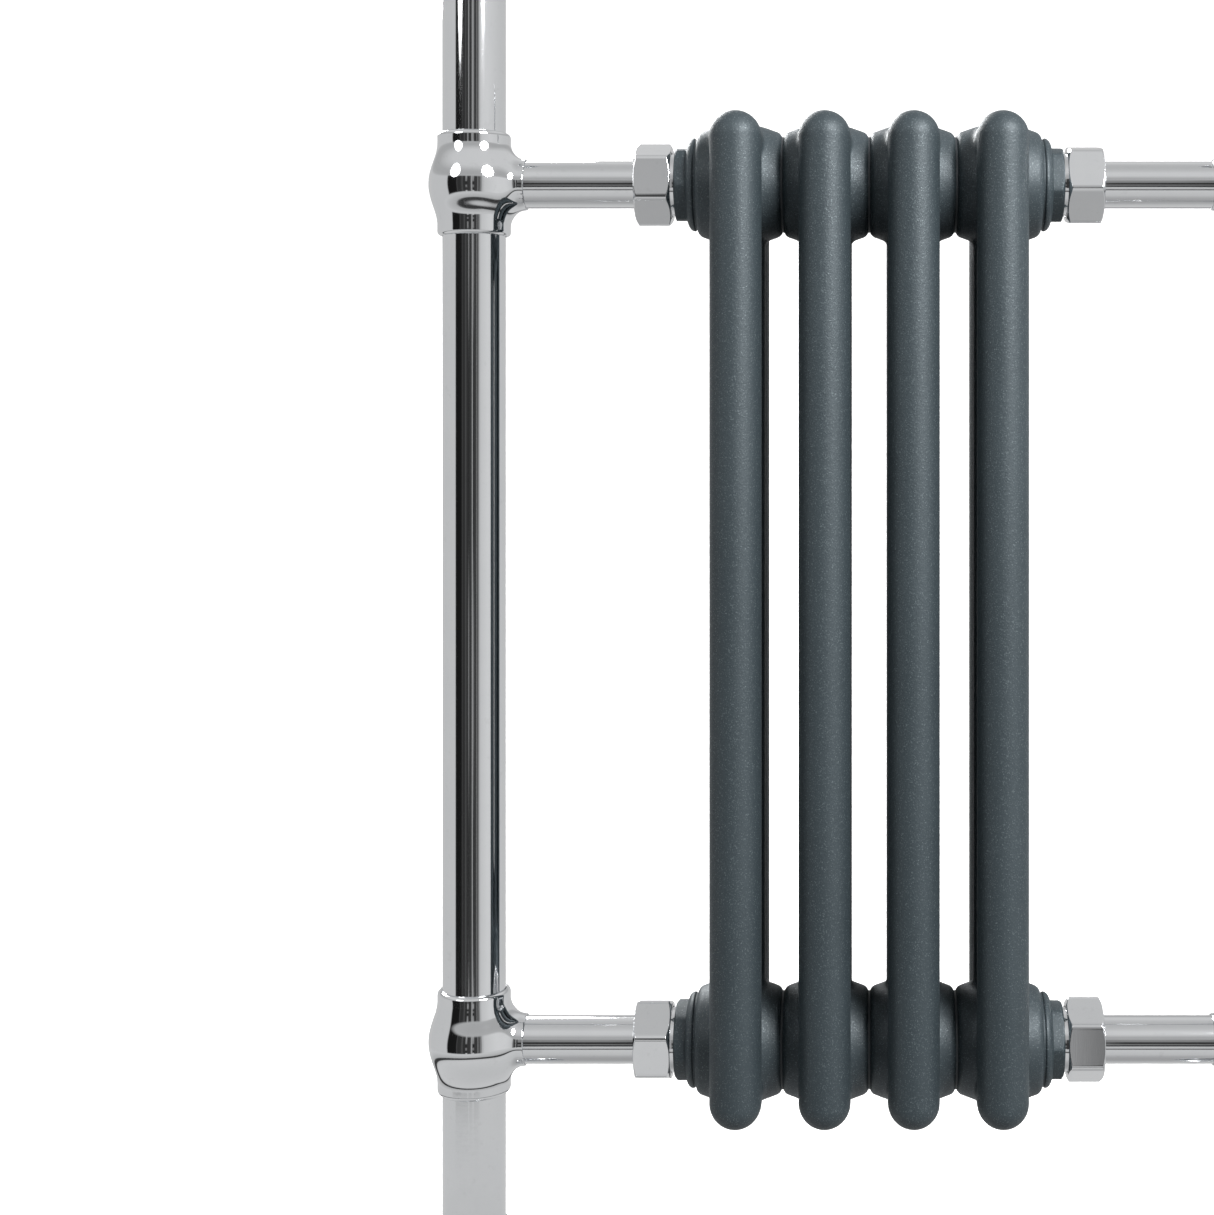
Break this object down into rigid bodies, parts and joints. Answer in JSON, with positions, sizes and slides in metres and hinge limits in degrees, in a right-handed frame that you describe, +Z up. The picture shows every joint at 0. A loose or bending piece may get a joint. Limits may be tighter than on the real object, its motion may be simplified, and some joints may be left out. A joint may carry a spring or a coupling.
{
  "type": "sectional column radiator",
  "caption": "Cast iron column radiator block nippled together from hollow sections and carried by union nuts between two ball-jointed chrome posts with floor feet.",
  "frame": {"origin": "on the floor, midway between the two posts and under the middle of the radiator block", "axes": "+X to the right seen from the front, +Y to the back, +Z up"},
  "size_m": [0.469, 0.1008, 0.6681],
  "materials": {
    "painted_cast_iron": "anthracite paint over a fine sand-cast grain, satin, with a soft sparkle",
    "painted_bush_iron": "anthracite paint over turned iron, satin, corners softened by the paint",
    "nipple_iron": "bare malleable iron, oiled",
    "joint_ring": "graphite fibre ring, painted over with the block",
    "chrome_plated_brass": "bright chrome plate on polished brass castings and turned fittings",
    "chrome_plated_tube": "bright chrome plate on drawn tube, with a faint drawing grain",
    "seal_fibre": "pressed fibre washer",
    "slip_washer_polymer": "smooth low-friction polymer",
    "bare_brass": "machined brass, unplated"
  },
  "bodies": {
    "radiator": {"section_1_heads": "painted_cast_iron", "section_1_columns": "painted_cast_iron", "section_2_heads": "painted_cast_iron", "section_2_columns": "painted_cast_iron", "section_3_heads": "painted_cast_iron", "section_3_columns": "painted_cast_iron", "section_4_heads": "painted_cast_iron", "section_4_columns": "painted_cast_iron", "lower_nipples": "nipple_iron", "lower_joint_rings": "joint_ring", "lower_bush_rings": "joint_ring", "upper_nipples": "nipple_iron", "upper_joint_rings": "joint_ring", "upper_bush_rings": "joint_ring", "lower_left_bush": "painted_bush_iron", "lower_left_union_tail": "chrome_plated_brass", "lower_left_union_seal": "seal_fibre", "lower_left_rail_tube": "chrome_plated_tube", "lower_left_tee": "chrome_plated_brass", "lower_right_bush": "painted_bush_iron", "lower_right_union_tail": "chrome_plated_brass", "lower_right_union_seal": "seal_fibre", "lower_right_rail_tube": "chrome_plated_tube", "lower_right_tee": "chrome_plated_brass", "upper_left_bush": "painted_bush_iron", "upper_left_union_tail": "chrome_plated_brass", "upper_left_union_seal": "seal_fibre", "upper_left_rail_tube": "chrome_plated_tube", "upper_left_tee": "chrome_plated_brass", "upper_right_bush": "painted_bush_iron", "upper_right_union_tail": "chrome_plated_brass", "upper_right_union_seal": "seal_fibre", "upper_right_rail_tube": "chrome_plated_tube", "upper_right_tee": "chrome_plated_brass", "lower_left_post": "chrome_plated_tube", "middle_left_post": "chrome_plated_tube", "upper_left_post": "chrome_plated_tube", "left_cap": "chrome_plated_brass", "left_vent_body": "chrome_plated_brass", "left_foot": "chrome_plated_brass", "left_supply_socket": "bare_brass", "lower_right_post": "chrome_plated_tube", "middle_right_post": "chrome_plated_tube", "upper_right_post": "chrome_plated_tube", "right_cap": "chrome_plated_brass", "right_vent_body": "chrome_plated_brass", "right_foot": "chrome_plated_brass", "right_supply_socket": "bare_brass"},
    "lower_left_slip_washer": {"lower_left_slip_washer": "slip_washer_polymer"},
    "lower_left_union_nut": {"lower_left_union_nut": "chrome_plated_brass"},
    "lower_right_slip_washer": {"lower_right_slip_washer": "slip_washer_polymer"},
    "lower_right_union_nut": {"lower_right_union_nut": "chrome_plated_brass"},
    "upper_left_slip_washer": {"upper_left_slip_washer": "slip_washer_polymer"},
    "upper_left_union_nut": {"upper_left_union_nut": "chrome_plated_brass"},
    "upper_right_slip_washer": {"upper_right_slip_washer": "slip_washer_polymer"},
    "upper_right_union_nut": {"upper_right_union_nut": "chrome_plated_brass"},
    "left_vent_screw": {"left_vent_screw": "chrome_plated_brass"},
    "right_vent_screw": {"right_vent_screw": "chrome_plated_brass"}
  },
  "joints": [
    {"name": "lower_left_nut_travel", "type": "slide", "parent": "radiator", "child": "lower_left_slip_washer", "axis": [-1, 0, 0], "range_m": [0, 0.0104]},
    {"name": "lower_left_nut_turn", "type": "hinge", "parent": "lower_left_slip_washer", "child": "lower_left_union_nut", "pos_m": [-0.1099, 0, 0.112], "axis": [-1, 0, 0], "range_deg": [0, 1620]},
    {"name": "lower_right_nut_travel", "type": "slide", "parent": "radiator", "child": "lower_right_slip_washer", "axis": [1, 0, 0], "range_m": [0, 0.0104]},
    {"name": "lower_right_nut_turn", "type": "hinge", "parent": "lower_right_slip_washer", "child": "lower_right_union_nut", "pos_m": [0.1099, 0, 0.112], "axis": [1, 0, 0], "range_deg": [0, 1620]},
    {"name": "upper_left_nut_travel", "type": "slide", "parent": "radiator", "child": "upper_left_slip_washer", "axis": [-1, 0, 0], "range_m": [0, 0.0104]},
    {"name": "upper_left_nut_turn", "type": "hinge", "parent": "upper_left_slip_washer", "child": "upper_left_union_nut", "pos_m": [-0.1099, 0, 0.55], "axis": [-1, 0, 0], "range_deg": [0, 1620]},
    {"name": "upper_right_nut_travel", "type": "slide", "parent": "radiator", "child": "upper_right_slip_washer", "axis": [1, 0, 0], "range_m": [0, 0.0104]},
    {"name": "upper_right_nut_turn", "type": "hinge", "parent": "upper_right_slip_washer", "child": "upper_right_union_nut", "pos_m": [0.1099, 0, 0.55], "axis": [1, 0, 0], "range_deg": [0, 1620]},
    {"name": "left_vent_turn", "type": "hinge", "parent": "radiator", "child": "left_vent_screw", "pos_m": [-0.2025, 0, 0.664], "axis": [0, 0, 1], "range_deg": [0, 360]},
    {"name": "right_vent_turn", "type": "hinge", "parent": "radiator", "child": "right_vent_screw", "pos_m": [0.2025, 0, 0.664], "axis": [0, 0, 1], "range_deg": [0, 360]}
  ],
  "couplings": [
    {"joint": "lower_left_nut_travel", "follows": "lower_left_nut_turn", "m_per_rad": 0.00036749},
    {"joint": "lower_right_nut_travel", "follows": "lower_right_nut_turn", "m_per_rad": 0.00036749},
    {"joint": "upper_left_nut_travel", "follows": "upper_left_nut_turn", "m_per_rad": 0.00036749},
    {"joint": "upper_right_nut_travel", "follows": "upper_right_nut_turn", "m_per_rad": 0.00036749}
  ]
}
